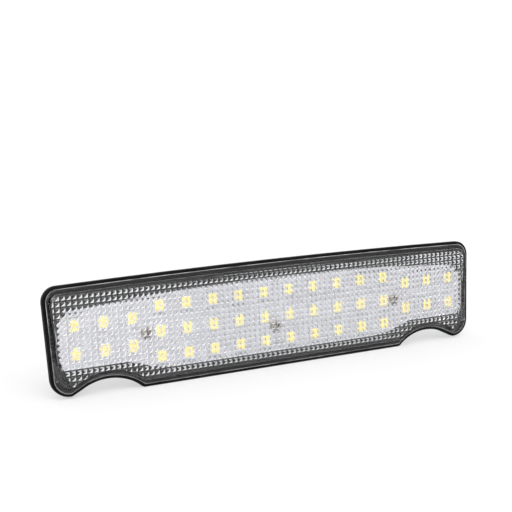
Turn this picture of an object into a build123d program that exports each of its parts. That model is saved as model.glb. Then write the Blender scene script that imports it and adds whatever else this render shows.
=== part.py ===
from build123d import *
import os
from math import sqrt, cos, sin, radians

# High-mount vehicle lamp, LED, clear lens.  All sizes in millimetres.
# X runs along the lamp, the lens faces -Y, +Z is up.
# The origin is midway between the two mounting studs, in the plane where the
# body gasket seats on the vehicle.

# ---- driving dimensions -------------------------------------------------
# flange, seen from the front
TOP_Z = 23.15            # crown of the top edge
TOP_RADIUS = 3850.0      # very flat arch of the top edge
SIDE_TOP = (99.9, 17.0)  # a point high on the leaning end
SIDE_LOW = (98.6, -14.0) # a point low on the leaning end
TOP_CORNER_R = 6.0
LOW_CORNER_R = 7.5
FOOT_CORNER_R = 1.0
NOTCH_CORNER_R = 1.5
BOTTOM_Z = -21.6         # long middle part of the bottom edge
FOOT_Z = -20.85          # short feet at the two ends
FOOT_INNER_X = 90.5
NOTCH_X = 75.6           # centre of each arched notch
NOTCH_R = 21.8
NOTCH_APEX_Z = -16.0
NOTCH_ARC_END_X = 86.6   # outside this the notch runs straight to the foot

# depths
SEAT_Y = 0.0
FLANGE_BACK = -1.0
FLANGE_FRONT = -3.4
RIM_WIDTH = 1.35
RIM_EDGE_R = 0.45        # rounding of the rim at the front
LEDGE_Y = -2.3           # ledge that carries the lens
LENS_GAP = 0.05
CUT = 1.0                # how far a cutting tool reaches past a face
BOARD_FRONT = -2.05
BOARD_THICK = 1.6
POCKET_INSET = 4.4       # board pocket, measured in from the flange edge
STEP_INSET = 3.4         # shallow step behind the flange
STEP_BACK = 1.2
TRAY_INSET = 6.0         # deep tray behind the step
TRAY_WALL = 1.6
FLOOR_FRONT = 3.0
FLOOR_BACK = 5.0

# lens
LENS_BACK = -2.5
LENS_FRONT = -3.9
BLOCK_FRONT = -5.9       # raised optical face
LENS_FACE_THICK = 2.0    # optical face
LENS_SIDE_WALL = 1.3     # walls of the raised block
BLOCK_TOP_Z = 20.2
BLOCK_BOTTOM_Z = -18.6
BLOCK_SIDE_TOP = (98.1, 17.0)
BLOCK_SIDE_MID = (96.0, -7.8)
BLOCK_SIDE_STEP = (94.7, -10.0)   # the side steps in beside each lug
BLOCK_SIDE_KNEE = (93.2, -15.4)
BLOCK_LOW_X = 90.4
BLOCK_TOP_R = 4.5        # roundings of the corners, from the top down
BLOCK_MID_R = 3.0
BLOCK_KNEE_R = 5.0
BLOCK_LOW_R = 1.5
BLOCK_NOTCH_CORNER_R = 6.0
BLOCK_NOTCH_R = NOTCH_R + 2.0
BLOCK_SHOULDER = 1.2     # rounding between side wall and optical face
PLATE_EDGE_R = 0.35      # rounding of the edge of the lens plate
LUG_X = 96.2             # oval lugs that locate the lens in the ledge
LUG_Z = -10.8
LUG_LENGTH = 7.6
LUG_WIDTH = 1.5
LUG_DEPTH = 0.7
LUG_CLEARANCE = 0.1
SEAL_OUT = 0.1           # sealant bead, in from the rim
SEAL_IN = 1.2            # and out from the edge of the board pocket

# gasket
GASKET_OUT = 0.9         # outer edge, in from the flange edge
GASKET_IN = 3.0
GASKET_GROOVE = 0.5

# board and light sources
BOARD_TOP_Z = 15.6
BOARD_TOP_RADIUS = 1000.0
BOARD_CORNER = (90.9, 11.5)
BOARD_SIDE_TOP = (94.7, 7.3)
BOARD_SIDE_LOW = (94.15, -10.7)
BOARD_NECK_OUT = (67.0, -10.7)
BOARD_NECK_IN = (55.0, -14.3)
BOARD_BOTTOM_Z = -15.2
BOARD_BOTTOM_X = 47.0
LED_PITCH = 11.75
LED_COLUMNS = 16
END_COLUMNS = 3
MIDDLE_ROWS = (10.07, 0.0, -10.07)
END_ROWS = (6.45, -4.45)
LED_WIDTH, LED_HEIGHT, LED_THICK = 5.0, 5.4, 0.9
WINDOW_WIDTH, WINDOW_HEIGHT, WINDOW_DEPTH = 3.6, 4.3, 0.4
WINDOW_CORNER_R = 0.8
SOLDER_WIDTH, SOLDER_REACH, SOLDER_THICK = 4.2, 0.45, 0.3

# fixings
BOARD_SCREWS = ((-5 * LED_PITCH, 0.0), (-1.0, -4.4), (5 * LED_PITCH, 0.0))
SCREW_HEAD_R, SCREW_HEAD_H = 2.25, 1.5
SCREW_R, SCREW_LENGTH = 1.2, 6.0
SCREW_HOLE_R = 1.4
SCREW_BOSS_R = 3.0
SCREW_PILOT_END = 4.2
SCREW_HEAD_EDGE_R = 0.7
SCREW_TIP = 0.5
RECESS_LENGTH, RECESS_WIDTH, RECESS_DEPTH, RECESS_TURN = 2.6, 0.5, 0.8, 20
STUD_X = 72.0
STUD_R = 2.5             # M5
STUD_END = 22.0
STUD_HEAD_R = 4.6
STUD_HEAD_FRONT, STUD_HEAD_BACK = 1.6, 4.8
STUD_SHOULDER_R = 3.4    # plain shoulder through the boss and its seal
STUD_BOSS_R = 6.5
STUD_BOSS_FRONT, STUD_BOSS_BACK = 0.7, 7.0
STUD_SEAL_R = 6.0
STUD_SEAL_BACK = 8.5
STUD_TIP = 0.6
GUSSET_THICK, GUSSET_HEIGHT = 1.2, 1.4    # low ribs round each stud boss
GUSSET_ALONG, GUSSET_ALONG_AT = 7.0, 7.5
GUSSET_ACROSS, GUSSET_ACROSS_AT = 6.0, 6.5

# electrical connector
PLUG_X, PLUG_Z = 14.0, -5.0
PLUG_WIDTH, PLUG_HEIGHT = 9.4, 13.4
PLUG_WALL = 1.4
PLUG_END = 16.5
PLUG_BASE_END = 5.0
PLUG_FLANGE = 1.5
PLUG_FLANGE_FRONT, PLUG_FLANGE_BACK = 1.2, 2.4
PLUG_CORNER_R = 1.6
PLUG_SEAL_INSET = 0.2
RAMP_PROFILE = ((0, 0), (0, 4.0), (1.3, 1.0), (1.3, 0))
RAMP_START = 6.5         # back from the mouth of the connector
RAMP_HEIGHT = 4.0
KEY_REACH = 3.6          # keys above and below the middle
KEY_WIDTH, KEY_HEIGHT = 1.2, 1.4
KEY_START, KEY_END = 7.0, 15.5
PIN_PITCH = 3.5
PIN_WIDTH, PIN_THICK = 1.5, 0.8
PIN_END = 11.6
PIN_TAIL = 0.3
PIN_TIP = 0.25
LEAD_R = 0.6
LEAD_Y = 0.4
LEAD_BEND_R = 1.0
LEAD_START_STRAIGHT = 0.05
LEAD_END_STRAIGHT = 3.0
LEAD_CORE_R = 0.4
JOINT_R, JOINT_HEIGHT, JOINT_EDGE_R = 1.15, 0.65, 0.5
LEAD_HOLES = ((-1.3, -11.2), (1.3, -11.2))

# breather
VENT_X, VENT_Z = -30.0, 3.0
VENT_HOLE_R = 1.0
VENT_COLLAR_R, VENT_COLLAR_HOLE_R = 4.6, 3.6
VENT_COLLAR_H = 1.6
MEMBRANE_THICK = 0.3
VENT_CAP_THICK = 0.9
VENT_CAP_EDGE_R = 0.4
VENT_SPIGOT_WALL, VENT_SPIGOT_LENGTH = 0.8, 0.8
VENT_SLOT = 1.1
VENT_SLOT_DEPTH = 0.4

# stiffening ribs across the back of the tray
RIB_PLACES = (-45.0, -15.0, 30.0, 48.0)
RIB_THICK, RIB_LENGTH, RIB_HEIGHT = 1.2, 24.0, 1.0

# parts on the back of the board
RESISTOR_COUNT = 14
RESISTOR_PITCH = 7.0
RESISTOR_Z = 6.0
CHIP_SIZE = (3.2, 1.6, 0.55)
CHIP_END = 0.5
DIODE_SIZE = (4.3, 2.6, 2.1)
DIODE_TAB = (1.0, 1.4, 0.6)
DIODE_STANDOFF = 0.1
DIODE_EDGE = 0.3
DIODE_AT = (-12.0, -10.0)
SUPPRESSOR_AT = (-21.0, -10.0)
CAPACITORS_AT = ((-29.0, -10.0), (-35.0, -10.0))
CAPACITOR_THICK = 1.1

BOARD_BACK = BOARD_FRONT + BOARD_THICK
NOTCH_Z = NOTCH_APEX_Z - NOTCH_R


# ---- helpers ------------------------------------------------------------
def arch(crown, radius, x):
    """Height of a shallow arch of the given crown height and radius."""
    return crown - radius + sqrt(radius ** 2 - x ** 2)


def notch_edge(radius, x):
    """Height of a circle round the notch centre."""
    return NOTCH_Z + sqrt(radius ** 2 - (x - NOTCH_X) ** 2)


def line_x(low, high, z):
    """X at height z on the straight line through two points."""
    return low[0] + (high[0] - low[0]) * (z - low[1]) / (high[1] - low[1])


def both_sides(right_half):
    """Closed face from the edges of its right half, top middle to bottom middle."""
    return make_face(right_half + [mirror(edge, about=Plane.YZ) for edge in right_half])


def round_corners(face, x, z, radius):
    """Round the corner at (x, z) and its mirror image."""
    near = [v for v in face.vertices() if abs(abs(v.X) - x) < 0.2 and abs(v.Y - z) < 0.2]
    return fillet(near, radius)


def slab(outline, front, back):
    """Solid between two depths, from an outline drawn in X and Z."""
    return extrude(Plane.XZ.offset(-back) * outline, amount=back - front)


def at(x, z, outline):
    return Pos(x, z) * outline


def disc(x, z, radius, front, back):
    return slab(at(x, z, Circle(radius)), front, back)


def block(x, z, width, height, front, back):
    return slab(at(x, z, Rectangle(width, height)), front, back)


def save(node, solids, colour):
    shape = Compound(label=node, children=list(solids)) if len(solids) > 1 else solids[0]
    shape.label = node
    shape.color = Color(*colour)
    export_step(shape, "parts/" + node + ".step")


# ---- outlines -----------------------------------------------------------
def flange_outline():
    corner_x = line_x(SIDE_LOW, SIDE_TOP, arch(TOP_Z, TOP_RADIUS, SIDE_TOP[0]))
    corner = (corner_x, arch(TOP_Z, TOP_RADIUS, corner_x))
    low = (line_x(SIDE_LOW, SIDE_TOP, FOOT_Z), FOOT_Z)
    foot = (FOOT_INNER_X, FOOT_Z)
    arc_out = (NOTCH_ARC_END_X, notch_edge(NOTCH_R, NOTCH_ARC_END_X))
    arc_in_x = NOTCH_X - sqrt(NOTCH_R ** 2 - (BOTTOM_Z - NOTCH_Z) ** 2)
    half = [
        ThreePointArc((0, TOP_Z), (corner_x / 2, arch(TOP_Z, TOP_RADIUS, corner_x / 2)), corner),
        Line(corner, low),
        Line(low, foot),
        Line(foot, arc_out),
        ThreePointArc(arc_out, (NOTCH_X, NOTCH_APEX_Z), (arc_in_x, BOTTOM_Z)),
        Line((arc_in_x, BOTTOM_Z), (0, BOTTOM_Z)),
    ]
    face = both_sides(half)
    face = round_corners(face, *corner, TOP_CORNER_R)
    face = round_corners(face, *low, LOW_CORNER_R)
    face = round_corners(face, *foot, FOOT_CORNER_R)
    return round_corners(face, arc_in_x, BOTTOM_Z, NOTCH_CORNER_R)


def inset(face, distance):
    return offset(face, amount=-distance, kind=Kind.INTERSECTION)


def block_outline():
    """Base of the raised optical block of the lens."""
    rise = TOP_Z - BLOCK_TOP_Z
    corner_z = arch(TOP_Z, TOP_RADIUS, BLOCK_SIDE_TOP[0]) - rise
    corner = (line_x(BLOCK_SIDE_MID, BLOCK_SIDE_TOP, corner_z), corner_z)
    low = (BLOCK_LOW_X, notch_edge(BLOCK_NOTCH_R, BLOCK_LOW_X))
    arc_in_x = NOTCH_X - sqrt(BLOCK_NOTCH_R ** 2 - (BLOCK_BOTTOM_Z - NOTCH_Z) ** 2)
    crown = (corner[0] / 2, arch(TOP_Z, TOP_RADIUS, corner[0] / 2) - rise)
    half = [
        ThreePointArc((0, BLOCK_TOP_Z), crown, corner),
        Line(corner, BLOCK_SIDE_MID),
        Line(BLOCK_SIDE_MID, BLOCK_SIDE_STEP),
        Line(BLOCK_SIDE_STEP, BLOCK_SIDE_KNEE),
        Line(BLOCK_SIDE_KNEE, low),
        ThreePointArc(low, (NOTCH_X, NOTCH_Z + BLOCK_NOTCH_R), (arc_in_x, BLOCK_BOTTOM_Z)),
        Line((arc_in_x, BLOCK_BOTTOM_Z), (0, BLOCK_BOTTOM_Z)),
    ]
    face = both_sides(half)
    face = round_corners(face, *corner, BLOCK_TOP_R)
    face = round_corners(face, *BLOCK_SIDE_MID, BLOCK_MID_R)
    face = round_corners(face, *BLOCK_SIDE_STEP, BLOCK_MID_R)
    face = round_corners(face, *BLOCK_SIDE_KNEE, BLOCK_KNEE_R)
    face = round_corners(face, *low, BLOCK_LOW_R)
    return round_corners(face, arc_in_x, BLOCK_BOTTOM_Z, BLOCK_NOTCH_CORNER_R)


def board_outline():
    top = arch(BOARD_TOP_Z, BOARD_TOP_RADIUS, BOARD_CORNER[0])
    corner = (BOARD_CORNER[0], top)
    middle = (corner[0] / 2, arch(BOARD_TOP_Z, BOARD_TOP_RADIUS, corner[0] / 2))
    half = [
        ThreePointArc((0, BOARD_TOP_Z), middle, corner),
        Line(corner, BOARD_SIDE_TOP),
        Line(BOARD_SIDE_TOP, BOARD_SIDE_LOW),
        Line(BOARD_SIDE_LOW, BOARD_NECK_OUT),
        Line(BOARD_NECK_OUT, BOARD_NECK_IN),
        Line(BOARD_NECK_IN, (BOARD_BOTTOM_X, BOARD_BOTTOM_Z)),
        Line((BOARD_BOTTOM_X, BOARD_BOTTOM_Z), (0, BOARD_BOTTOM_Z)),
    ]
    return both_sides(half)


def led_places():
    places = []
    for column in range(LED_COLUMNS):
        x = (column - (LED_COLUMNS - 1) / 2) * LED_PITCH
        at_end = column < END_COLUMNS or column >= LED_COLUMNS - END_COLUMNS
        for z in END_ROWS if at_end else MIDDLE_ROWS:
            places.append((x, z))
    return places


def sides(x):
    return (-x, x)


FLANGE = flange_outline()
BLOCK = block_outline()
LEDS = led_places()


def lug_outline(grow=0.0):
    """One oval locating lug, upright, on the right end."""
    oval = SlotOverall(LUG_LENGTH + 2 * grow, LUG_WIDTH + 2 * grow, rotation=90)
    return at(LUG_X, LUG_Z, oval)


def lugs(front, back, grow=0.0):
    one = slab(lug_outline(grow), front, back)
    return [one, mirror(one, about=Plane.YZ)]


# ---- mounting studs -----------------------------------------------------
def stud(x):
    head = slab(at(x, 0, RegularPolygon(STUD_HEAD_R, 6)), STUD_HEAD_FRONT, STUD_HEAD_BACK)
    shoulder = disc(x, 0, STUD_SHOULDER_R, STUD_HEAD_BACK, STUD_SEAL_BACK)
    shank = disc(x, 0, STUD_R, STUD_SEAL_BACK, STUD_END)
    tip = shank.edges().filter_by(GeomType.CIRCLE).sort_by(Axis.Y)[-1]
    return head + shoulder + chamfer(tip, STUD_TIP)


def stud_seal(x):
    ring = disc(x, 0, STUD_SEAL_R, STUD_BOSS_BACK, STUD_SEAL_BACK)
    return ring - disc(x, 0, STUD_SHOULDER_R, STUD_BOSS_BACK - CUT, STUD_SEAL_BACK + CUT)


# ---- connector ----------------------------------------------------------
def plug_outline(grow=0.0):
    shape = RectangleRounded(PLUG_WIDTH + 2 * grow, PLUG_HEIGHT + 2 * grow, PLUG_CORNER_R + max(grow, -1.0))
    return at(PLUG_X, PLUG_Z, shape)


def pin_places():
    return [(PLUG_X, PLUG_Z + side * PIN_PITCH / 2) for side in (1, -1)]


def terminal_pin(x, z):
    blade = block(x, z, PIN_THICK, PIN_WIDTH, PIN_TAIL, PIN_END)
    tip = blade.faces().sort_by(Axis.Y)[-1].edges()
    return chamfer(tip, PIN_TIP)


def connector_shell():
    shell = slab(plug_outline(), PLUG_FLANGE_FRONT, PLUG_END)
    shell += slab(plug_outline(PLUG_FLANGE), PLUG_FLANGE_FRONT, PLUG_FLANGE_BACK)
    shell -= slab(plug_outline(-PLUG_WALL), PLUG_BASE_END, PLUG_END + CUT)
    # locking ramp on the side that faces the lamp's middle, and two keys below
    ramp = make_face(Polyline(*RAMP_PROFILE, close=True))
    start = (PLUG_X - PLUG_WIDTH / 2, PLUG_END - RAMP_START, PLUG_Z - RAMP_HEIGHT / 2)
    ramp_plane = Plane(start, x_dir=(-1, 0, 0), z_dir=(0, 0, 1))
    shell += extrude(ramp_plane * ramp, amount=RAMP_HEIGHT)
    for z in (PLUG_Z - KEY_REACH, PLUG_Z + KEY_REACH):
        shell += block(PLUG_X + PLUG_WIDTH / 2, z, KEY_WIDTH, KEY_HEIGHT, KEY_START, KEY_END)
    for x, z in pin_places():
        shell -= block(x, z, PIN_THICK, PIN_WIDTH, PLUG_FLANGE_FRONT - CUT, PLUG_BASE_END + CUT)
    return shell


def connector_seal():
    ring = slab(plug_outline(PLUG_FLANGE - PLUG_SEAL_INSET), PLUG_FLANGE_BACK, FLOOR_FRONT)
    return ring - slab(plug_outline(), PLUG_FLANGE_BACK - CUT, FLOOR_FRONT + CUT)


def lead(hole, pin):
    """Insulated lead from the back of the board to its terminal."""
    x, z = hole
    pin_x, pin_z = pin[0] - PIN_THICK / 2, pin[1]
    turn_x = pin_x - LEAD_END_STRAIGHT
    route = [(x, BOARD_BACK, z), (x, LEAD_Y, z), (turn_x, LEAD_Y, pin_z), (pin_x, LEAD_Y, pin_z)]
    first_bend = LEAD_Y - BOARD_BACK - LEAD_START_STRAIGHT
    path = FilletPolyline(*route, radius=[first_bend, LEAD_BEND_R])
    start = Plane(path @ 0, z_dir=path % 0)
    return sweep(start * Circle(LEAD_R), path=path)


def lead_joint(x, z):
    """Bared end of a lead and its soldered dome on the front of the board."""
    wire = disc(x, z, LEAD_CORE_R, BOARD_FRONT, BOARD_BACK)
    dome = disc(x, z, JOINT_R, BOARD_FRONT - JOINT_HEIGHT, BOARD_FRONT)
    edge = dome.edges().filter_by(GeomType.CIRCLE).sort_by(Axis.Y)[0]
    return wire + fillet(edge, JOINT_EDGE_R)


# ---- breather -----------------------------------------------------------
COLLAR_BACK = FLOOR_BACK + VENT_COLLAR_H


def vent_collar():
    ring = disc(VENT_X, VENT_Z, VENT_COLLAR_R, FLOOR_BACK, COLLAR_BACK)
    return ring - disc(VENT_X, VENT_Z, VENT_COLLAR_HOLE_R, FLOOR_BACK - CUT, COLLAR_BACK + CUT)


def vent_cap():
    cap = disc(VENT_X, VENT_Z, VENT_COLLAR_R, COLLAR_BACK, COLLAR_BACK + VENT_CAP_THICK)
    rim = cap.edges().filter_by(GeomType.CIRCLE).sort_by(Axis.Y)[-1]
    cap = fillet(rim, VENT_CAP_EDGE_R)
    spigot_front = COLLAR_BACK - VENT_SPIGOT_LENGTH
    spigot = disc(VENT_X, VENT_Z, VENT_COLLAR_HOLE_R, spigot_front, COLLAR_BACK)
    bore_r = VENT_COLLAR_HOLE_R - VENT_SPIGOT_WALL
    spigot -= disc(VENT_X, VENT_Z, bore_r, spigot_front - CUT, COLLAR_BACK)
    cap += spigot
    for turn in (0, 90):
        bar = at(VENT_X, VENT_Z, Rectangle(4 * VENT_COLLAR_R, VENT_SLOT, rotation=turn))
        cap -= slab(bar, COLLAR_BACK - CUT, COLLAR_BACK + VENT_SLOT_DEPTH)
    return cap


# ---- housing ------------------------------------------------------------
def board_screw(x, z):
    head = disc(x, z, SCREW_HEAD_R, BOARD_FRONT - SCREW_HEAD_H, BOARD_FRONT)
    top = head.edges().filter_by(GeomType.CIRCLE).sort_by(Axis.Y)[0]
    head = fillet(top, SCREW_HEAD_EDGE_R)
    head_front = BOARD_FRONT - SCREW_HEAD_H
    for turn in (0, 90):
        slot = at(x, z, Rectangle(RECESS_LENGTH, RECESS_WIDTH, rotation=turn + RECESS_TURN))
        head -= slab(slot, head_front - CUT, head_front + RECESS_DEPTH)
    shank = disc(x, z, SCREW_R, BOARD_FRONT, BOARD_FRONT + SCREW_LENGTH)
    tip = shank.edges().filter_by(GeomType.CIRCLE).sort_by(Axis.Y)[-1]
    return head + chamfer(tip, SCREW_TIP)


def housing():
    body = slab(FLANGE, FLANGE_FRONT, FLANGE_BACK)
    edge = body.faces().sort_by(Axis.Y)[0].outer_wire().edges()
    body = fillet(edge, RIM_EDGE_R)
    body += slab(inset(FLANGE, STEP_INSET), FLANGE_BACK, STEP_BACK)
    body += slab(inset(FLANGE, TRAY_INSET), STEP_BACK, FLOOR_BACK)
    # openings, from the front: lens seat, board pocket, component chamber
    body -= slab(inset(FLANGE, RIM_WIDTH), FLANGE_FRONT - CUT, LEDGE_Y)
    body -= slab(inset(FLANGE, POCKET_INSET), FLANGE_FRONT - CUT, BOARD_BACK)
    body -= slab(inset(FLANGE, TRAY_INSET + TRAY_WALL), FLANGE_FRONT - CUT, FLOOR_FRONT)
    for lug in lugs(LEDGE_Y - CUT, LENS_BACK + LUG_DEPTH + LUG_CLEARANCE, grow=LUG_CLEARANCE):
        body -= lug
    # gasket groove in the back of the flange
    groove = inset(FLANGE, GASKET_OUT) - inset(FLANGE, GASKET_IN)
    body -= slab(groove, FLANGE_BACK - GASKET_GROOVE, FLANGE_BACK)
    # bosses for the board screws and the insert-moulded studs
    for x, z in BOARD_SCREWS:
        body += disc(x, z, SCREW_BOSS_R, BOARD_BACK, FLOOR_FRONT)
        body -= disc(x, z, SCREW_R, BOARD_BACK - CUT, SCREW_PILOT_END)
    for x in sides(STUD_X):
        body += disc(x, 0, STUD_BOSS_R, STUD_BOSS_FRONT, STUD_BOSS_BACK)
        gusset_back = FLOOR_BACK + GUSSET_HEIGHT
        for reach in sides(GUSSET_ALONG_AT):
            body += block(x + reach, 0, GUSSET_ALONG, GUSSET_THICK, FLOOR_BACK, gusset_back)
        for reach in sides(GUSSET_ACROSS_AT):
            body += block(x, reach, GUSSET_THICK, GUSSET_ACROSS, FLOOR_BACK, gusset_back)
    for x in sides(STUD_X):
        body -= stud(x)
    # connector and breather openings
    body -= slab(plug_outline(LENS_GAP), FLOOR_FRONT - CUT, FLOOR_BACK + CUT)
    body += vent_collar()
    body -= disc(VENT_X, VENT_Z, VENT_HOLE_R, FLOOR_FRONT - CUT, COLLAR_BACK)
    for x in RIB_PLACES:
        body += block(x, 0, RIB_THICK, RIB_LENGTH, FLOOR_BACK, FLOOR_BACK + RIB_HEIGHT)
    return body


def lens():
    plate = slab(inset(FLANGE, RIM_WIDTH + LENS_GAP), LENS_FRONT, LENS_BACK)
    front_edge = plate.faces().sort_by(Axis.Y)[0].outer_wire().edges()
    plate = fillet(front_edge, PLATE_EDGE_R)
    raised = slab(BLOCK, BLOCK_FRONT, LENS_BACK)
    shoulder = raised.faces().sort_by(Axis.Y)[0].outer_wire().edges()
    raised = fillet(shoulder, BLOCK_SHOULDER)
    shell = plate + raised
    shell -= slab(inset(BLOCK, LENS_SIDE_WALL), BLOCK_FRONT + LENS_FACE_THICK, LENS_BACK + CUT)
    for lug in lugs(LENS_BACK, LENS_BACK + LUG_DEPTH):
        shell += lug
    return shell


def lens_seal():
    """Bead of clear sealant between the ledge and the lens."""
    band = inset(FLANGE, RIM_WIDTH + SEAL_OUT) - inset(FLANGE, POCKET_INSET - SEAL_IN)
    ring = slab(band, LENS_BACK, LEDGE_Y)
    for hole in lugs(LENS_BACK - CUT, LEDGE_Y + CUT, grow=LUG_CLEARANCE):
        ring -= hole
    return ring


def body_gasket():
    band = inset(FLANGE, GASKET_OUT) - inset(FLANGE, GASKET_IN)
    return slab(band, FLANGE_BACK - GASKET_GROOVE, SEAT_Y)


# ---- circuit board ------------------------------------------------------
def circuit_board():
    board = slab(board_outline(), BOARD_FRONT, BOARD_BACK)
    for x, z in BOARD_SCREWS:
        board -= disc(x, z, SCREW_HOLE_R, BOARD_FRONT - CUT, BOARD_BACK + CUT)
    for x, z in LEAD_HOLES:
        board -= disc(x, z, LEAD_CORE_R, BOARD_FRONT - CUT, BOARD_BACK + CUT)
    return board


def window(x, z, front, back):
    """Rounded opening that holds the phosphor of one light source."""
    return slab(at(x, z, RectangleRounded(WINDOW_WIDTH, WINDOW_HEIGHT, WINDOW_CORNER_R)), front, back)


def led_body(x, z):
    front = BOARD_FRONT - LED_THICK
    body = block(x, z, LED_WIDTH, LED_HEIGHT, front, BOARD_FRONT)
    return body - window(x, z, front - CUT, front + WINDOW_DEPTH)


def led_phosphor(x, z):
    front = BOARD_FRONT - LED_THICK
    return window(x, z, front, front + WINDOW_DEPTH)


def led_joints(x, z):
    """Solder fillets at the top and bottom of one light source."""
    out = []
    for side in (1, -1):
        middle = z + side * (LED_HEIGHT + SOLDER_REACH) / 2
        out.append(block(x, middle, SOLDER_WIDTH, SOLDER_REACH, BOARD_FRONT - SOLDER_THICK, BOARD_FRONT))
    return out


def chip_body(x, z, thick=CHIP_SIZE[2]):
    return block(x, z, CHIP_SIZE[0] - 2 * CHIP_END, CHIP_SIZE[1], BOARD_BACK, BOARD_BACK + thick)


def chip_ends(x, z, thick=CHIP_SIZE[2]):
    reach = (CHIP_SIZE[0] - CHIP_END) / 2
    return [block(x + dx, z, CHIP_END, CHIP_SIZE[1], BOARD_BACK, BOARD_BACK + thick) for dx in sides(reach)]


def diode_body(x, z):
    length, width, height = DIODE_SIZE
    body = block(x, z, length, width, BOARD_BACK + DIODE_STANDOFF, BOARD_BACK + height)
    far = body.faces().sort_by(Axis.Y)[-1].edges()
    return chamfer(far, DIODE_EDGE)


def diode_ends(x, z):
    length, width, height = DIODE_TAB
    reach = (DIODE_SIZE[0] + length) / 2
    return [block(x + dx, z, length, width, BOARD_BACK, BOARD_BACK + height) for dx in sides(reach)]


def resistor_places():
    return [((i - (RESISTOR_COUNT - 1) / 2) * RESISTOR_PITCH, RESISTOR_Z) for i in range(RESISTOR_COUNT)]


def flat(groups):
    return [solid for group in groups for solid in group]


# ---- write every piece --------------------------------------------------
BLACK = (0.03, 0.03, 0.03)
RUBBER = (0.06, 0.06, 0.065)
CLEAR = (0.85, 0.88, 0.9, 0.35)
WHITE = (0.9, 0.9, 0.9)
YELLOW = (0.95, 0.82, 0.35)
TIN = (0.7, 0.7, 0.72)
STEEL = (0.6, 0.6, 0.62)
BRASS = (0.8, 0.62, 0.3)

os.makedirs("parts", exist_ok=True)
save("housing", [housing()], BLACK)
save("lens", [lens()], CLEAR)
save("lens_seal", [lens_seal()], CLEAR)
save("body_gasket", [body_gasket()], RUBBER)
save("circuit_board", [circuit_board()], WHITE)
save("led_bodies", [led_body(*p) for p in LEDS], WHITE)
save("led_phosphors", [led_phosphor(*p) for p in LEDS], YELLOW)
save("led_solder", flat(led_joints(*p) for p in LEDS), TIN)
save("board_screws", [board_screw(*p) for p in BOARD_SCREWS], STEEL)
save("string_resistors", [chip_body(*p) for p in resistor_places()], BLACK)
save("resistor_ends", flat(chip_ends(*p) for p in resistor_places()), TIN)
save("polarity_diode", [diode_body(*DIODE_AT)], BLACK)
save("polarity_diode_tabs", diode_ends(*DIODE_AT), TIN)
save("surge_suppressor", [diode_body(*SUPPRESSOR_AT)], BLACK)
save("surge_suppressor_tabs", diode_ends(*SUPPRESSOR_AT), TIN)
save("filter_capacitors", [chip_body(*p, CAPACITOR_THICK) for p in CAPACITORS_AT], BRASS)
save("capacitor_ends", flat(chip_ends(*p, CAPACITOR_THICK) for p in CAPACITORS_AT), TIN)
save("positive_lead", [lead(LEAD_HOLES[0], pin_places()[0])], (0.7, 0.05, 0.04))
save("negative_lead", [lead(LEAD_HOLES[1], pin_places()[1])], BLACK)
save("lead_solder", [lead_joint(*p) for p in LEAD_HOLES], TIN)
save("terminal_pins", [terminal_pin(*p) for p in pin_places()], BRASS)
save("connector_shell", [connector_shell()], BLACK)
save("connector_seal", [connector_seal()], RUBBER)
save("mounting_studs", [stud(x) for x in sides(STUD_X)], STEEL)
save("stud_seals", [stud_seal(x) for x in sides(STUD_X)], RUBBER)
membrane_back = FLOOR_BACK + MEMBRANE_THICK
save("vent_membrane", [disc(VENT_X, VENT_Z, VENT_COLLAR_HOLE_R, FLOOR_BACK, membrane_back)], WHITE)
save("vent_cap", [vent_cap()], BLACK)
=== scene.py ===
from math import cos, pi, radians, sin, tan

import bmesh
import bpy
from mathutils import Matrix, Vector


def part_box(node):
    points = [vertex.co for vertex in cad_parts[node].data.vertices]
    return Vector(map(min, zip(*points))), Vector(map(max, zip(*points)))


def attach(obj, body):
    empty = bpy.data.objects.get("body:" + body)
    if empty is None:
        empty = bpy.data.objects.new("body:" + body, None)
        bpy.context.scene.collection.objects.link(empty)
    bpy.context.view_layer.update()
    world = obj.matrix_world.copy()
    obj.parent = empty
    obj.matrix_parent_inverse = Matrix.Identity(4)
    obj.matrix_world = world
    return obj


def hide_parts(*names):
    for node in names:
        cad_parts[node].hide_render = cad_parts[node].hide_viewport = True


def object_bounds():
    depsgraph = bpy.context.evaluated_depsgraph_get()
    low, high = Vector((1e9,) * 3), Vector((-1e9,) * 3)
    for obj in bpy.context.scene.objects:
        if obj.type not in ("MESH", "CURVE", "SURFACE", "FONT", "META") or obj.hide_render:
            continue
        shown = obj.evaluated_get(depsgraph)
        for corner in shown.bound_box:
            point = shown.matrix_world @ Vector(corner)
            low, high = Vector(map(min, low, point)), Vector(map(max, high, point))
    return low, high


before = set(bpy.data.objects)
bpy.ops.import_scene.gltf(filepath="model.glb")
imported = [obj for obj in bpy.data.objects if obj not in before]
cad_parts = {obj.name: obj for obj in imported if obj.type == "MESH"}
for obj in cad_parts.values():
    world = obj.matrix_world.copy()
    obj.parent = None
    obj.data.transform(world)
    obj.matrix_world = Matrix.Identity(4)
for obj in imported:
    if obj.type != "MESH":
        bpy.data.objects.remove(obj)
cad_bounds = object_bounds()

# Everything is in metres, in the lamp's own frame: X along the lamp, the lens
# faces -Y, +Z up.
MM = 0.001

# ---- prisms moulded into the back of the lens
PRISM_COLUMN = 2.295 * MM      # pitch along the lamp
PRISM_ROW = 2.235 * MM         # pitch up the lamp
PRISM_ANGLE = radians(42)      # facets, measured from the plane of the lens
PRISM_LAND = 0.62 * MM         # flat strip left between two prisms
PRISM_FIRST_X = 0.7 * MM       # one of the lines between two columns
PRISM_FIRST_Z = -17.3 * MM     # one of the lines between two rows
PRISM_BITE = 0.02 * MM         # how far the flat strips lie inside the old face
PRISM_SPARE = 2                # prisms added beyond the outline on every side
PRISM_SLAB = 0.4 * MM          # how far the cutting slab reaches behind the face
FIELD_FRONT = 3 * MM           # reach of the block that trims the slab, in front
FIELD_BACK = 0.2 * MM          # and behind the face

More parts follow.
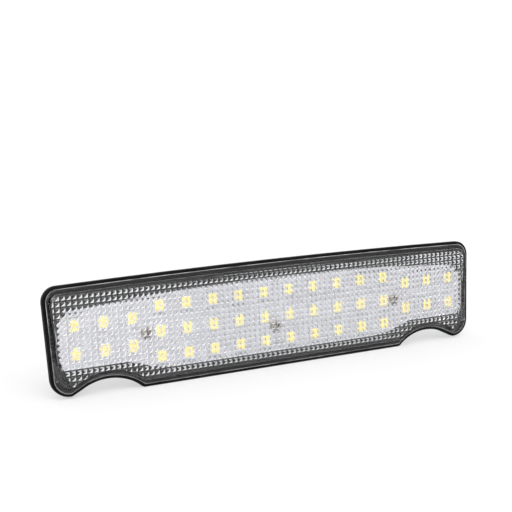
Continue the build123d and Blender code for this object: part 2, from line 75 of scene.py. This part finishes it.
# ---- pale bead round the edge of the lens, a painted highlight
BEAD_RADIUS = 0.15 * MM
BEAD_AROUND = 8

# ---- mounting studs, M5
STUD_PITCH = 0.8 * MM
STUD_SHANK_R = 2.5 * MM
STUD_THREAD_DEPTH = 0.45 * MM
STUD_GROOVE_HALF = 0.42        # half width of the groove, as a share of the pitch
STUD_RUNOUT = 1.2 * MM
STUD_TIP_GROOVE = 0.3          # share of the thread's depth left at the very tip
STUD_CHAMFER = 0.6 * MM
STUD_SHOULDER_R = 3.4 * MM
STUD_HEAD_HEIGHT = 3.2 * MM
STUD_HEAD_CORNER_R = 4.6 * MM
STUD_SEAL_R = 6.0 * MM         # outer radius of the seal round a stud
STUD_AROUND = 48
STUD_RINGS_PER_TURN = 8

# ---- meshes
WELD = 0.001 * MM              # vertices closer than this are merged
SAME_LEVEL = 0.01 * MM         # faces closer than this lie in one plane
SQUARE_ON = 0.99               # least Y part of a normal for a face square to Y
LENS_CREASE = radians(20)      # edges that turn less than this are shaded smooth
BEAD_CREASE = radians(60)
STUD_CREASE = radians(25)

# ---- materials
NOISE_RANGE = (0.3, 0.7)       # where most values of a noise texture lie
TINT_RANGE = (0.35, 0.65)      # narrower, for stronger colours
TRACK_SPACING = 11.75 * MM     # pitch of the light sources
SEAT_BLEND = 0.5 * MM          # half depth of the change of texture at the seat
FRONT_SPECULAR = 0.02
REAR_SPECULAR = 0.4
WHITE = (1.0, 1.0, 1.0, 1.0)

# ---- light sources; the phosphor gets a painted glow
PHOSPHOR_PAINTED_GLOW = 0.4
PHOSPHOR_PAINTED_GLOW_COLOUR = (1.0, 0.82, 0.35, 1.0)

# ---- floor and light
FLOOR_HALF = 3.0
FLOOR_COLOUR = 0.4
FLOOR_GLOW = 0.42              # the floor is a light table, lit softly from below
FRONT_LIGHT = 1.0              # level of the surroundings in front of the lens
BACK_LIGHT = 1.06              # behind the lamp, seen as a white backdrop
BACK_BLEND = (-0.1, 0.3)       # Y of the directions between which the level changes
SOFTBOX_LIGHT = 4.5            # large soft box above and in front of the lens
SOFTBOX_FROM = Vector((-0.25, -0.85, 0.45))
SOFTBOX_EDGE = (0.75, 0.97)    # cosines of the angles where it starts and is full

# ---- camera
CAMERA_AT = Vector((-226.69, -415.0, 76.95)) * MM
CAMERA_TURN = (radians(83.66), radians(2.82), radians(-28.229))
CAMERA_LENS = 80.44            # millimetres, on a 36 mm sensor
CAMERA_NEAR = 0.01


# ==== helpers ===========================================================
def new_object(name, mesh):
    obj = bpy.data.objects.new(name, mesh)
    bpy.context.scene.collection.objects.link(obj)
    return obj


def object_from_bmesh(name, bm):
    bmesh.ops.recalc_face_normals(bm, faces=bm.faces)
    mesh = bpy.data.meshes.new(name)
    bm.to_mesh(mesh)
    bm.free()
    return new_object(name, mesh)


def welded(mesh):
    """A bmesh of the mesh, with vertices in the same place merged."""
    bm = bmesh.new()
    bm.from_mesh(mesh)
    bmesh.ops.remove_doubles(bm, verts=bm.verts, dist=WELD)
    return bm


def move_to(elements, y):
    """Put the vertices among some bmesh elements at one depth (Y)."""
    for item in elements:
        if isinstance(item, bmesh.types.BMVert):
            item.co.y = y


def boolean(target, tool, operation):
    """Cut, join or intersect target's mesh with tool, and remove tool."""
    modifier = target.modifiers.new(operation, "BOOLEAN")
    modifier.operation = operation
    modifier.solver = "EXACT"
    modifier.object = tool
    depsgraph = bpy.context.evaluated_depsgraph_get()
    result = bpy.data.meshes.new_from_object(target.evaluated_get(depsgraph))
    target.modifiers.clear()
    target.data = result
    bpy.data.objects.remove(tool)


def smooth_below(obj, angle):
    """Smooth shading across edges that turn by less than the angle."""
    bm = bmesh.new()
    bm.from_mesh(obj.data)
    for face in bm.faces:
        face.smooth = True
    for edge in bm.edges:
        edge.smooth = edge.is_manifold and edge.calc_face_angle(pi) < angle
    bm.to_mesh(obj.data)
    bm.free()


def finish_piece(obj, material, slot, *nodes):
    """Give a new piece its material and let it stand for its CAD nodes."""
    obj.data.materials.clear()
    obj.data.materials.append(material)
    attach(obj, "root")
    if nodes:
        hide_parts(*nodes)


# ==== materials =========================================================
def new_material(name, colour, roughness, **sockets):
    """A Principled material; sockets are further Principled inputs by name."""
    material = bpy.data.materials.new(name)
    material.use_nodes = True
    shader = material.node_tree.nodes["Principled BSDF"]
    shader.inputs["Base Color"].default_value = (*colour, 1.0)
    shader.inputs["Roughness"].default_value = roughness
    for label, value in sockets.items():
        shader.inputs[label.replace("_", " ")].default_value = value
    return material


def position(material, stretch=(1.0, 1.0, 1.0)):
    """Place on the object in metres, optionally stretched along its axes."""
    tree = material.node_tree
    coordinates = tree.nodes.new("ShaderNodeTexCoord")
    mapping = tree.nodes.new("ShaderNodeMapping")
    mapping.inputs["Scale"].default_value = stretch
    tree.links.new(coordinates.outputs["Object"], mapping.inputs["Vector"])
    return mapping.outputs["Vector"]


def noise(material, grain, detail=4.0, stretch=(1.0, 1.0, 1.0)):
    """Noise whose features are about as large as grain, in metres."""
    tree = material.node_tree
    texture = tree.nodes.new("ShaderNodeTexNoise")
    texture.inputs["Scale"].default_value = 1.0 / grain
    texture.inputs["Detail"].default_value = detail
    tree.links.new(position(material, stretch), texture.inputs["Vector"])
    return texture.outputs["Fac"]


def vary(material, socket, source, low, high):
    """Drive a Principled number between two values from a 0-1 source."""
    tree = material.node_tree
    spread = tree.nodes.new("ShaderNodeMapRange")
    spread.inputs["From Min"].default_value = NOISE_RANGE[0]
    spread.inputs["From Max"].default_value = NOISE_RANGE[1]
    spread.inputs["To Min"].default_value = low
    spread.inputs["To Max"].default_value = high
    tree.links.new(source, spread.inputs["Value"])
    tree.links.new(spread.outputs["Result"], tree.nodes["Principled BSDF"].inputs[socket])


def tint(material, source, dark, light):
    """Drive the base colour between two colours from a 0-1 source."""
    tree = material.node_tree
    ramp = tree.nodes.new("ShaderNodeValToRGB")
    ramp.color_ramp.elements[0].position = TINT_RANGE[0]
    ramp.color_ramp.elements[0].color = (*dark, 1.0)
    ramp.color_ramp.elements[1].position = TINT_RANGE[1]
    ramp.color_ramp.elements[1].color = (*light, 1.0)
    tree.links.new(source, ramp.inputs["Fac"])
    tree.links.new(ramp.outputs["Color"], tree.nodes["Principled BSDF"].inputs["Base Color"])


def bump(material, source, depth, strength):
    """Relief of the given depth in metres, from a 0-1 source."""
    tree = material.node_tree
    relief = tree.nodes.new("ShaderNodeBump")
    relief.inputs["Strength"].default_value = strength
    relief.inputs["Distance"].default_value = depth
    tree.links.new(source, relief.inputs["Height"])
    tree.links.new(relief.outputs["Normal"], tree.nodes["Principled BSDF"].inputs["Normal"])


def smooth_step(tree, source, start, end, low, high):
    """A number that eases from low to high as the source goes from start to end."""
    step = tree.nodes.new("ShaderNodeMapRange")
    step.interpolation_type = "SMOOTHSTEP"
    for label, value in (("From Min", start), ("From Max", end), ("To Min", low), ("To Max", high)):
        step.inputs[label].default_value = value
    tree.links.new(source, step.inputs["Value"])
    return step.outputs["Result"]


def moulded(name, dark, light, roughness, grain=0.25 * MM, depth=0.02 * MM, gloss=0.5):
    """Moulded plastic: fine eroded grain and a slow drift of the gloss."""
    material = new_material(name, dark, roughness, Specular_IOR_Level=gloss)
    tint(material, noise(material, 9 * MM), dark, light)
    vary(material, "Roughness", noise(material, 3 * MM), roughness - 0.07, roughness + 0.07)
    bump(material, noise(material, grain, 2.0), depth, 0.5)
    return material


def housing_plastic():
    """Glossy black in front of the seat, a greyer spark-eroded texture behind it."""
    colours = ((0.003, 0.003, 0.0032), (0.006, 0.006, 0.0065))
    material = moulded("black plastic", *colours, 0.4, gloss=FRONT_SPECULAR)
    tree = material.node_tree
    shader = tree.nodes["Principled BSDF"]
    axes = tree.nodes.new("ShaderNodeSeparateXYZ")
    tree.links.new(position(material), axes.inputs["Vector"])
    behind = smooth_step(tree, axes.outputs["Y"], -SEAT_BLEND, SEAT_BLEND, 0.0, 1.0)
    speckle = tree.nodes.new("ShaderNodeValToRGB")
    speckle.color_ramp.elements[0].color = (0.012, 0.012, 0.0125, 1.0)
    speckle.color_ramp.elements[1].color = (0.028, 0.028, 0.029, 1.0)
    tree.links.new(noise(material, 0.5 * MM, 3.0), speckle.inputs["Fac"])
    blend = tree.nodes.new("ShaderNodeMixRGB")
    front_colour = shader.inputs["Base Color"].links[0].from_socket
    tree.links.new(behind, blend.inputs["Fac"])
    tree.links.new(front_colour, blend.inputs["Color1"])
    tree.links.new(speckle.outputs["Color"], blend.inputs["Color2"])
    tree.links.new(blend.outputs["Color"], shader.inputs["Base Color"])
    specular = smooth_step(tree, behind, 0.0, 1.0, FRONT_SPECULAR, REAR_SPECULAR)
    tree.links.new(specular, shader.inputs["Specular IOR Level"])
    return material


def metal(name, dark, light, roughness, stretch=(1.0, 1.0, 1.0)):
    """Bare or plated metal, uneven in colour and gloss."""
    material = new_material(name, light, roughness, Metallic=1.0)
    tint(material, noise(material, 1.5 * MM, 6.0, stretch), dark, light)
    vary(material, "Roughness", noise(material, 0.6 * MM, 4.0, stretch), roughness - 0.1, roughness + 0.12)
    bump(material, noise(material, 0.3 * MM, 3.0, stretch), 0.01 * MM, 0.5)
    return material


def clear_lens():
    material = new_material("clear lens", (0.84, 0.845, 0.86), 0.0, Transmission_Weight=1.0, IOR=1.49)
    vary(material, "Roughness", noise(material, 6 * MM), 0.0, 0.02)
    return material


def clear_sealant():
    """Sealant behind the edge of the lens, grey, streaked along the lamp; the light streaks are partly
    painted highlight.
    """
    material = new_material("clear sealant", (0.3, 0.3, 0.305), 0.4, IOR=1.41)
    streaks_and_painted_highlight = noise(material, 0.8 * MM, 3.0, (0.03, 1.0, 1.0))
    tint(material, streaks_and_painted_highlight, (0.12, 0.12, 0.121), (0.78, 0.78, 0.785))
    vary(material, "Roughness", noise(material, 4 * MM, 2.0, (0.15, 1.0, 1.0)), 0.3, 0.5)
    bump(material, noise(material, 1.2 * MM, 1.0, (0.05, 1.0, 1.0)), 0.08 * MM, 0.4)
    return material


def painted_highlight_bead():
    """Pale grey bead colour, a painted highlight along the edge of the lens."""
    material = new_material("painted highlight bead", (0.25, 0.25, 0.255), 0.3)
    tint(material, noise(material, 6 * MM), (0.08, 0.08, 0.082), (0.3, 0.3, 0.305))
    bump(material, noise(material, 0.8 * MM, 2.0), 0.03 * MM, 0.5)
    return material


def white_board():
    """White solder mask over faint copper tracks."""
    material = new_material("white solder mask", (0.84, 0.83, 0.86), 0.45)
    tint(material, noise(material, 5 * MM), (0.82, 0.81, 0.845), (0.86, 0.85, 0.88))
    tree = material.node_tree
    tracks = tree.nodes.new("ShaderNodeTexBrick")
    tracks.inputs["Scale"].default_value = 1.0 / TRACK_SPACING
    tracks.inputs["Mortar Size"].default_value = 0.03
    tracks.inputs["Brick Width"].default_value = 2.0
    tracks.inputs["Row Height"].default_value = 0.43
    turn = tree.nodes.new("ShaderNodeMapping")
    turn.inputs["Rotation"].default_value = (radians(90), 0.0, 0.0)
    tree.links.new(position(material), turn.inputs["Vector"])
    tree.links.new(turn.outputs["Vector"], tracks.inputs["Vector"])
    bump(material, tracks.outputs["Fac"], 0.035 * MM, 0.6)
    return material


def white_package():
    material = new_material("white package", (0.9, 0.9, 0.91), 0.5)
    tint(material, noise(material, 2 * MM), (0.88, 0.88, 0.89), (0.93, 0.93, 0.94))
    bump(material, noise(material, 0.2 * MM, 2.0), 0.01 * MM, 0.5)
    return material


def phosphor():
    """Yellow silicone over the chip, cloudy, with a painted glow: a faint emission brightens it under any
    light.
    """
    glow = {"Emission_Color": PHOSPHOR_PAINTED_GLOW_COLOUR, "Emission_Strength": PHOSPHOR_PAINTED_GLOW}
    material = new_material("yellow phosphor", (1.0, 0.88, 0.35), 0.35, **glow)
    tint(material, noise(material, 0.8 * MM, 3.0), (0.99, 0.83, 0.28), (1.0, 0.91, 0.42))
    bump(material, noise(material, 0.5 * MM, 3.0), 0.04 * MM, 0.6)
    return material


def insulation(name, dark, light):
    material = new_material(name, light, 0.4)
    tint(material, noise(material, 1.2 * MM, 3.0, (0.3, 1.0, 1.0)), dark, light)
    bump(material, noise(material, 0.25 * MM, 2.0), 0.012 * MM, 0.5)
    return material


def ceramic():
    material = new_material("tan ceramic", (0.5, 0.33, 0.18), 0.5)
    tint(material, noise(material, 0.5 * MM, 5.0), (0.42, 0.27, 0.14), (0.55, 0.38, 0.22))
    bump(material, noise(material, 0.15 * MM, 3.0), 0.008 * MM, 0.5)
    return material


def membrane():
    """Fibrous white film."""
    material = new_material("white film", (0.85, 0.85, 0.84), 0.7)
    tint(material, noise(material, 0.3 * MM, 8.0, (1.0, 1.0, 0.3)), (0.78, 0.78, 0.77), (0.9, 0.9, 0.89))
    bump(material, noise(material, 0.2 * MM, 6.0, (1.0, 1.0, 0.3)), 0.02 * MM, 0.8)
    return material


GREY_PLASTIC = moulded("grey plastic", (0.05, 0.05, 0.053), (0.075, 0.075, 0.078), 0.45)
BLACK_RESIN = moulded("black resin", (0.01, 0.01, 0.011), (0.03, 0.03, 0.032), 0.55, 0.15 * MM)
TIN = metal("tin", (0.55, 0.56, 0.58), (0.82, 0.83, 0.84), 0.32)
SCREW_STEEL = metal("dark passivated steel", (0.3, 0.26, 0.22), (0.55, 0.5, 0.44), 0.45)
STEEL = metal("zinc plated steel", (0.45, 0.47, 0.5), (0.7, 0.71, 0.72), 0.35)
BRASS = metal("brass", (0.6, 0.42, 0.15), (0.85, 0.65, 0.3), 0.25, (1.0, 0.2, 1.0))
RUBBER = moulded("black rubber", (0.012, 0.012, 0.013), (0.02, 0.02, 0.021), 0.7, 0.4 * MM, 0.03 * MM)
LENS = clear_lens()

FINISHES = {
    "housing": housing_plastic(),
    "lens_seal": clear_sealant(),
    "body_gasket": RUBBER,
    "connector_seal": RUBBER,
    "stud_seals": RUBBER,
    "circuit_board": white_board(),
    "led_bodies": white_package(),
    "led_phosphors": phosphor(),
    "led_solder": TIN,
    "resistor_ends": TIN,
    "capacitor_ends": TIN,
    "polarity_diode_tabs": TIN,
    "surge_suppressor_tabs": TIN,
    "lead_solder": TIN,
    "board_screws": SCREW_STEEL,
    "terminal_pins": BRASS,
    "string_resistors": BLACK_RESIN,
    "polarity_diode": BLACK_RESIN,
    "surge_suppressor": BLACK_RESIN,
    "filter_capacitors": ceramic(),
    "positive_lead": insulation("red insulation", (0.35, 0.015, 0.01), (0.5, 0.03, 0.02)),
    "negative_lead": insulation("black insulation", (0.01, 0.01, 0.01), (0.025, 0.025, 0.025)),
    "connector_shell": GREY_PLASTIC,
    "vent_cap": GREY_PLASTIC,
    "vent_membrane": membrane(),
}
for node, finish in FINISHES.items():
    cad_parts[node].material_slots[0].material = finish


# ==== lens ==============================================================
def outlines(faces):
    """Ordered outlines of some faces, one list of points for each."""
    chosen = set(faces)
    beside = {}
    # A rim edge belongs to one chosen face. A list keeps the order the same each run.
    edges = [edge for face in faces for edge in face.edges]
    rim = [edge for edge in edges if sum(face in chosen for face in edge.link_faces) == 1]
    for edge in rim:
        for vertex in edge.verts:
            beside.setdefault(vertex, []).append(edge.other_vert(vertex))
    loops = []
    while beside:
        loop = [next(iter(beside))]
        onward = beside.pop(loop[-1])
        while onward:
            loop.append(onward[0])
            onward = [vertex for vertex in beside.pop(loop[-1]) if vertex in beside]
        loops.append([vertex.co.copy() for vertex in loop])
    return loops


def inner_face(mesh):
    """Depth (Y) and outline of the end face of the lens's hollow."""
    bm = welded(mesh)
    backward = [face for face in bm.faces if face.normal.y > SQUARE_ON]
    depth = min(face.calc_center_median().y for face in backward)
    end_face = [face for face in backward if abs(face.calc_center_median().y - depth) < SAME_LEVEL]
    outline = max(outlines(end_face), key=len)
    bm.free()
    return depth, outline


def prism_grid(name, outline, ridge_y, back_y):
    """Slab whose front is a grid of square pyramids, pointing at the viewer."""
    low_x, high_x = min(p.x for p in outline), max(p.x for p in outline)
    low_z, high_z = min(p.z for p in outline), max(p.z for p in outline)
    first_column = int((low_x - PRISM_FIRST_X) / PRISM_COLUMN) - PRISM_SPARE
    last_column = int((high_x - PRISM_FIRST_X) / PRISM_COLUMN) + PRISM_SPARE
    first_row = int((low_z - PRISM_FIRST_Z) / PRISM_ROW) - PRISM_SPARE
    last_row = int((high_z - PRISM_FIRST_Z) / PRISM_ROW) + PRISM_SPARE
    half_x = (PRISM_COLUMN - PRISM_LAND) / 2
    half_z = (PRISM_ROW - PRISM_LAND) / 2
    apex_y = ridge_y - half_z * tan(PRISM_ANGLE)
    bm = bmesh.new()
    corners = {}

    def corner(column, row):
        if (column, row) not in corners:
            x = PRISM_FIRST_X + column * PRISM_COLUMN
            z = PRISM_FIRST_Z + row * PRISM_ROW
            corners[column, row] = bm.verts.new((x, ridge_y, z))
        return corners[column, row]

    def add_prism(column, row):
        x = PRISM_FIRST_X + (column + 0.5) * PRISM_COLUMN
        z = PRISM_FIRST_Z + (row + 0.5) * PRISM_ROW
        around = ((0, 0), (1, 0), (1, 1), (0, 1))
        outer = [corner(column + i, row + j) for i, j in around]
        foot = [(x + (2 * i - 1) * half_x, ridge_y, z + (2 * j - 1) * half_z) for i, j in around]
        base = [bm.verts.new(point) for point in foot]
        apex = bm.verts.new((x, apex_y, z))
        for k in range(4):
            following = (k + 1) % 4
            bm.faces.new((outer[k], outer[following], base[following], base[k]))
            bm.faces.new((base[k], base[following], apex))

    for column in range(first_column, last_column):
        for row in range(first_row, last_row):
            add_prism(column, row)
    edges = [edge for edge in bm.edges if edge.is_boundary]
    skirt = bmesh.ops.extrude_edge_only(bm, edges=edges)["geom"]
    move_to(skirt, back_y)
    back = [edge for edge in bm.edges if edge.is_boundary]
    bmesh.ops.contextual_create(bm, geom=back)
    return object_from_bmesh(name, bm)


def outline_prism(name, outline, front_y, back_y):
    """Closed block with the given outline, between two depths (Y)."""
    bm = bmesh.new()
    face = bm.faces.new([bm.verts.new((p.x, back_y, p.z)) for p in outline])
    grown = bmesh.ops.extrude_face_region(bm, geom=[face])["geom"]
    move_to(grown, front_y)
    return object_from_bmesh(name, bm)


def build_lens():
    """The CAD lens with its prisms cut into the back of the optical face."""
    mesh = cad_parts["lens"].data.copy()
    lens = new_object("prismatic_lens", mesh)
    bm = welded(mesh)
    bm.to_mesh(mesh)
    bm.free()
    face_y, outline = inner_face(mesh)
    tool = prism_grid("prism_grid", outline, face_y - PRISM_BITE, face_y + PRISM_SLAB)
    field = outline_prism("prism_field", outline, face_y - FIELD_FRONT, face_y + FIELD_BACK)
    boolean(tool, field, "INTERSECT")
    boolean(lens, tool, "DIFFERENCE")
    smooth_below(lens, LENS_CREASE)
    finish_piece(lens, LENS, "clear_plastic", "lens")


build_lens()


# ==== pale bead round the edge of the lens, a painted highlight =========
def build_bead():
    """Thin raised pale bead between lens and rim, a painted highlight standing in for light carried by the
    lens edge.
    """
    bm = welded(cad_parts["lens_seal"].data)
    front = [face for face in bm.faces if face.normal.y < -SQUARE_ON]
    path = max(outlines(front), key=lambda loop: max(point.x for point in loop))
    bm.free()
    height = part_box("housing")[0].y - BEAD_RADIUS / 2
    # The sign of the path's area tells which way round it runs.
    area = sum(a.x * b.z - b.x * a.z for a, b in zip(path, path[1:] + path[:1]))
    side = 1.0 if area > 0 else -1.0
    bm = bmesh.new()
    rings = []
    for before, here, after in zip(path[-1:] + path[:-1], path, path[1:] + path[:1]):
        along = (after - before).normalized()
        outward = Vector((along.z, 0.0, -along.x)) * side
        middle = Vector((here.x, height, here.z)) + outward * BEAD_RADIUS
        ring = []
        for k in range(BEAD_AROUND):
            angle = 2 * pi * k / BEAD_AROUND
            reach = outward * cos(angle) + Vector((0.0, sin(angle), 0.0))
            ring.append(bm.verts.new(middle + reach * BEAD_RADIUS))
        rings.append(ring)
    for ring, following in zip(rings, rings[1:] + rings[:1]):
        for k in range(BEAD_AROUND):
            onward = (k + 1) % BEAD_AROUND
            bm.faces.new((ring[k], ring[onward], following[onward], following[k]))
    bead = object_from_bmesh("painted_highlight_line", bm)
    smooth_below(bead, BEAD_CREASE)
    # the pale bead is a painted highlight along the lens edge
    finish_piece(bead, painted_highlight_bead(), "clear_sealant")


build_bead()


# ==== mounting studs ====================================================
def ring_stack(bm, rings):
    """Closed skin over a stack of rings with the same number of points."""
    levels = [[bm.verts.new(point) for point in ring] for ring in rings]
    count = len(levels[0])
    for lower, upper in zip(levels, levels[1:]):
        for k in range(count):
            following = (k + 1) % count
            bm.faces.new((lower[k], lower[following], upper[following], upper[k]))
    bm.faces.new(levels[0][::-1])
    bm.faces.new(levels[-1])


def build_studs():
    """Hex-headed studs with a plain shoulder and a real helical thread."""
    low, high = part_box("mounting_studs")
    seal_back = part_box("stud_seals")[1].y
    boss_front = low.y
    stud_x = (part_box("stud_seals")[1].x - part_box("stud_seals")[0].x) / 2 - STUD_SEAL_R
    head_back = boss_front + STUD_HEAD_HEIGHT
    head_flat = STUD_HEAD_CORNER_R * cos(radians(30))
    tip = high.y
    angles = [2 * pi * k / STUD_AROUND for k in range(STUD_AROUND)]

    def hexagon(angle):
        return head_flat / cos((angle % radians(60)) - radians(30))

    def shoulder(angle):
        return STUD_SHOULDER_R

    def thread(angle, y):
        turn = (y / STUD_PITCH - angle / (2 * pi)) % 1.0
        groove = max(0.0, 1.0 - abs(turn - 0.5) / STUD_GROOVE_HALF) * STUD_THREAD_DEPTH
        fade = min(1.0, (y - seal_back) / STUD_RUNOUT, STUD_TIP_GROOVE + (tip - y) / STUD_PITCH)
        chamfer = max(0.0, STUD_CHAMFER - (tip - y))
        return STUD_SHANK_R - max(groove * max(0.0, fade), chamfer)

    def ring(side, y, radius):
        """Points round one stud; radius is a function of the angle."""
        return [(side * stud_x + radius(a) * cos(a), y, radius(a) * sin(a)) for a in angles]

    bm = bmesh.new()
    steps = int(STUD_RINGS_PER_TURN * (tip - seal_back) / STUD_PITCH)
    for side in (-1, 1):
        rings = [ring(side, y, hexagon) for y in (boss_front, head_back)]
        rings += [ring(side, y, shoulder) for y in (head_back, seal_back)]
        for step in range(steps + 1):
            y = seal_back + (tip - seal_back) * step / steps
            rings.append(ring(side, y, lambda angle: thread(angle, y)))
        ring_stack(bm, rings)
    studs = object_from_bmesh("threaded_studs", bm)
    smooth_below(studs, STUD_CREASE)
    finish_piece(studs, STEEL, "zinc_steel", "mounting_studs")


build_studs()


# ==== stage, light and camera ===========================================
def build_floor():
    height = cad_bounds[0][2]
    bm = bmesh.new()
    corners = ((-1, -1), (1, -1), (1, 1), (-1, 1))
    bm.faces.new([bm.verts.new((i * FLOOR_HALF, j * FLOOR_HALF, height)) for i, j in corners])
    floor = object_from_bmesh("floor", bm)
    glow = {"Emission_Color": WHITE, "Emission_Strength": FLOOR_GLOW}
    pale = new_material("pale floor", (FLOOR_COLOUR,) * 3, 1.0, Specular_IOR_Level=0.0, **glow)
    floor.data.materials.append(pale)


def build_world():
    """White studio, a little brighter behind the lamp, with a soft box in front."""
    world = bpy.data.worlds.new("studio")
    bpy.context.scene.world = world
    world.use_nodes = True
    tree = world.node_tree
    direction = tree.nodes.new("ShaderNodeTexCoord").outputs["Generated"]
    axes = tree.nodes.new("ShaderNodeSeparateXYZ")
    tree.links.new(direction, axes.inputs["Vector"])
    level = smooth_step(tree, axes.outputs["Y"], *BACK_BLEND, FRONT_LIGHT, BACK_LIGHT)
    towards = tree.nodes.new("ShaderNodeVectorMath")
    towards.operation = "DOT_PRODUCT"
    towards.inputs[1].default_value = SOFTBOX_FROM.normalized()
    tree.links.new(direction, towards.inputs[0])
    softbox = smooth_step(tree, towards.outputs["Value"], *SOFTBOX_EDGE, 0.0, SOFTBOX_LIGHT)
    total = tree.nodes.new("ShaderNodeMath")
    tree.links.new(level, total.inputs[0])
    tree.links.new(softbox, total.inputs[1])
    tree.links.new(total.outputs["Value"], tree.nodes["Background"].inputs["Strength"])
    tree.nodes["Background"].inputs["Color"].default_value = WHITE
    bpy.context.scene.view_settings.view_transform = "Standard"


def build_camera():
    data = bpy.data.cameras.new("camera")
    data.lens = CAMERA_LENS
    data.clip_start = CAMERA_NEAR
    camera = new_object("camera", data)
    camera.location = CAMERA_AT
    camera.rotation_euler = CAMERA_TURN
    bpy.context.scene.camera = camera


build_floor()
build_world()
build_camera()
